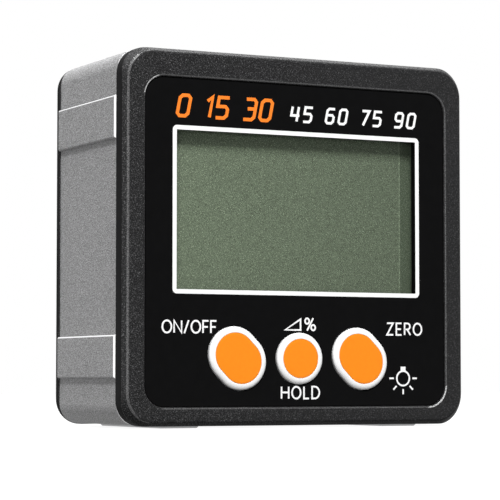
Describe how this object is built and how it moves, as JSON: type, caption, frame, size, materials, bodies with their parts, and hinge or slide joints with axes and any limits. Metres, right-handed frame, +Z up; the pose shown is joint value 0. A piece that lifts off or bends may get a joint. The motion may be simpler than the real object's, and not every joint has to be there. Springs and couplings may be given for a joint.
{
  "type": "digital angle gauge",
  "caption": "Square digital angle gauge with a ribbed aluminium frame between a moulded bezel and back cover, a blank display, press keys and a battery bay.",
  "frame": {"origin": "middle of the base, on the plane of the base rails", "axes": "+Z up, the display faces -Y, +X to the right seen from the front"},
  "size_m": [0.0572, 0.027, 0.055],
  "materials": {
    "frame_aluminium": "satin",
    "case_plastic": "fine texture",
    "panel_black": "gloss",
    "clear_pane": "clear",
    "display_film": "fine matte",
    "display_glass": "clear",
    "diffuser_white": "frosted",
    "contact_rubber": "matte",
    "board_green": "solder mask",
    "chip_black": "matte",
    "lamp_body": "gloss",
    "screw_steel": "zinc plated",
    "contact_steel": "nickel plated",
    "magnet_nickel": "nickel plated",
    "cell_sleeve": "film sleeve",
    "key_white": "satin",
    "key_orange": "satin"
  },
  "bodies": {
    "case": {"frame": "frame_aluminium", "front_bezel": "case_plastic", "front_panel": "panel_black", "display_window": "clear_pane", "lcd_polariser": "display_film", "lcd_glass": "display_glass", "light_guide": "diffuser_white", "backlight_leds": "lamp_body", "contact_strip": "contact_rubber", "circuit_board": "board_green", "controller_chip": "chip_black", "tilt_sensor": "chip_black", "timing_crystal": "screw_steel", "power_switch": "chip_black", "hold_switch": "chip_black", "zero_switch": "chip_black", "board_screws": "screw_steel", "back_cover": "case_plastic", "upper_cell": "cell_sleeve", "lower_cell": "cell_sleeve", "positive_contact": "contact_steel", "negative_contact": "contact_steel", "bridge_contact": "contact_steel", "negative_spring": "contact_steel", "bridge_spring": "contact_steel", "base_magnets": "magnet_nickel", "case_screws": "screw_steel"},
    "left_key": {"power_key": "key_white", "power_key_insert": "key_orange", "power_plunger": "chip_black"},
    "middle_key": {"hold_key": "key_white", "hold_key_insert": "key_orange", "hold_plunger": "chip_black"},
    "right_key": {"zero_key": "key_white", "zero_key_insert": "key_orange", "zero_plunger": "chip_black"},
    "door": {"battery_door": "case_plastic"}
  },
  "joints": [
    {"name": "power_key_press", "type": "slide", "parent": "case", "child": "left_key", "axis": [0, 1, 0], "range_m": [0, 0.0003], "stiffness_N_per_m": 2000},
    {"name": "hold_key_press", "type": "slide", "parent": "case", "child": "middle_key", "axis": [0, 1, 0], "range_m": [0, 0.0003], "stiffness_N_per_m": 2000},
    {"name": "zero_key_press", "type": "slide", "parent": "case", "child": "right_key", "axis": [0, 1, 0], "range_m": [0, 0.0003], "stiffness_N_per_m": 2000},
    {"name": "battery_door_lift", "type": "slide", "parent": "case", "child": "door", "axis": [0, 1, 0], "range_m": [0, 0.012]}
  ]
}
